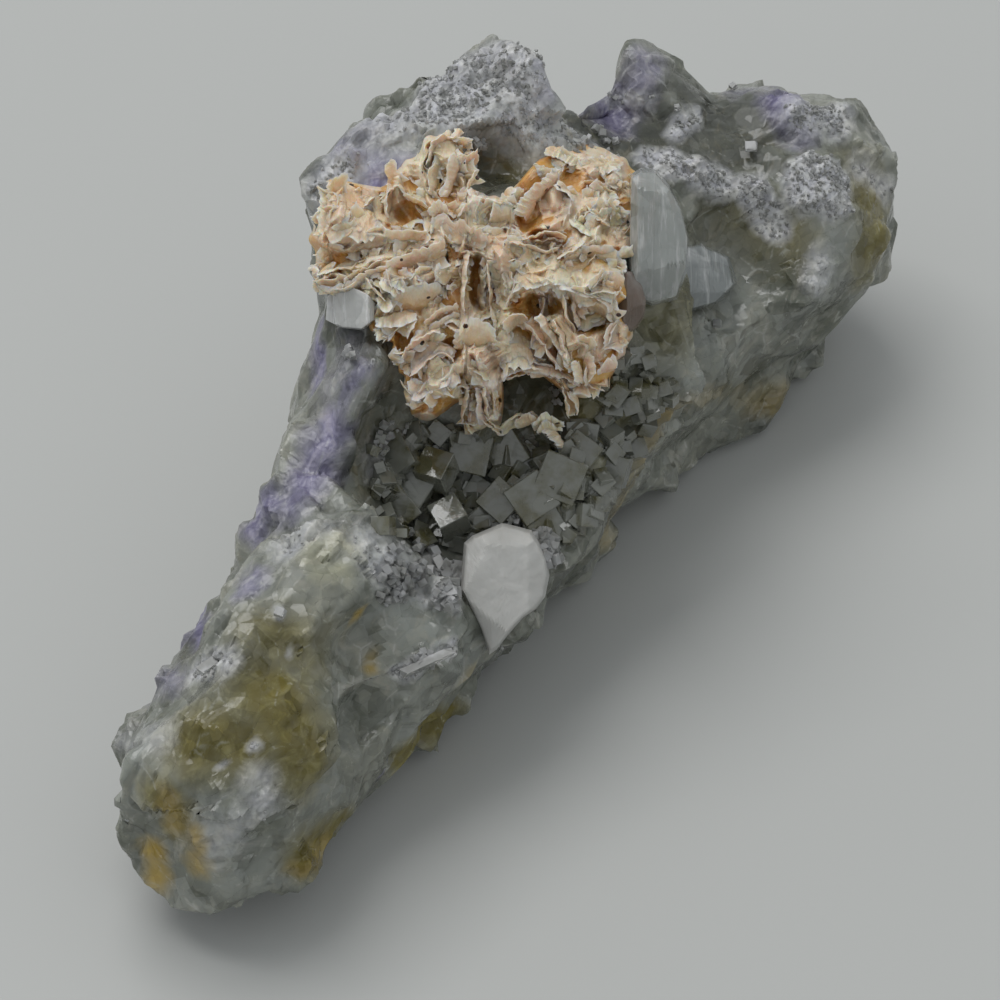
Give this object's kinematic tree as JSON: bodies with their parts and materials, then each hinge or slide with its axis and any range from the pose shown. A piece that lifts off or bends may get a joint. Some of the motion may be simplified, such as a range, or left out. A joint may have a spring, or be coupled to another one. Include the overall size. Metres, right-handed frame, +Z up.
{
  "type": "barite crystal specimen",
  "caption": "Elongated hand specimen: peach barite blades on a lump of translucent grey, purple and yellow fluorite, with a cube-lined hollow and a few clear and white crystals.",
  "frame": {"origin": "centre of the bounding box's base, on the surface that the stone rests on", "axes": "+X runs from the low narrow end to the broad far end, -Y is the side with the cube-lined hollow, +Z is up"},
  "size_m": [0.1206, 0.0482, 0.0517],
  "materials": {
    "fluorite": "glassy, broken and sugary",
    "barite": "satin, platy",
    "cube_fluorite": "glassy crystal faces",
    "calcite": "matte crystal face",
    "clear_crystal": "clear, striated",
    "smoky_crystal": "smoky, clear",
    "white_crystal": "milky, translucent"
  },
  "bodies": {
    "root": {"fluorite_stone": "fluorite", "barite_blades": "barite", "hollow_crust": "cube_fluorite", "calcite_crystal": "calcite", "clear_crystal": "clear_crystal", "smoky_crystal": "smoky_crystal", "white_crystal": "white_crystal"}
  },
  "joints": []
}
